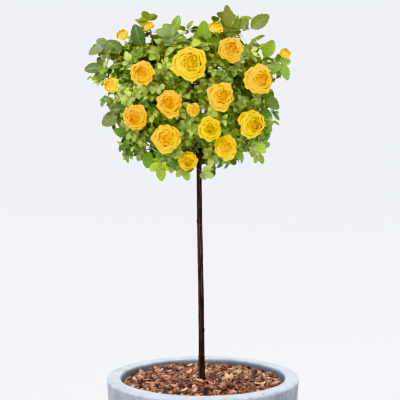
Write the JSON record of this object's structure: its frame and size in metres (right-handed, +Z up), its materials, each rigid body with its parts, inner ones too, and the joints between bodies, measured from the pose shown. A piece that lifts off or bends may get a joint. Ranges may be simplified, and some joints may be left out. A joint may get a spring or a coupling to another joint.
{
  "type": "standard rose in a pot",
  "caption": "Standard rose with a slim bare stem, a round crown of leaves and yellow blooms, in a thick-rimmed round pot topped with bark.",
  "frame": {"origin": "centre of the pot's flat underside", "axes": "+Z up along the pot's axis, -Y to the front that the picture shows, +X to its right"},
  "size_m": [0.551, 0.5, 1.376],
  "materials": {
    "concrete": "cast, pale grey, slightly rough",
    "soil": "dark and crumbly",
    "bark_mulch": "rough chips, reddish brown",
    "stem_bark": "dark brown bark, matt",
    "bough_bark": "brown to green bark, satin",
    "foliage": "satin green leaves with yellow blooms"
  },
  "bodies": {
    "root": {"pot": "concrete", "soil": "soil", "bark_mulch": "bark_mulch", "stem": "stem_bark", "bough_low_1": "bough_bark", "foliage_low_1": "foliage", "bough_low_2": "bough_bark", "foliage_low_2": "foliage", "bough_low_3": "bough_bark", "foliage_low_3": "foliage", "bough_low_4": "bough_bark", "foliage_low_4": "foliage", "bough_low_5": "bough_bark", "foliage_low_5": "foliage", "bough_high_1": "bough_bark", "foliage_high_1": "foliage", "bough_high_2": "bough_bark", "foliage_high_2": "foliage", "bough_high_3": "bough_bark", "foliage_high_3": "foliage", "bough_high_4": "bough_bark", "foliage_high_4": "foliage"}
  },
  "joints": []
}
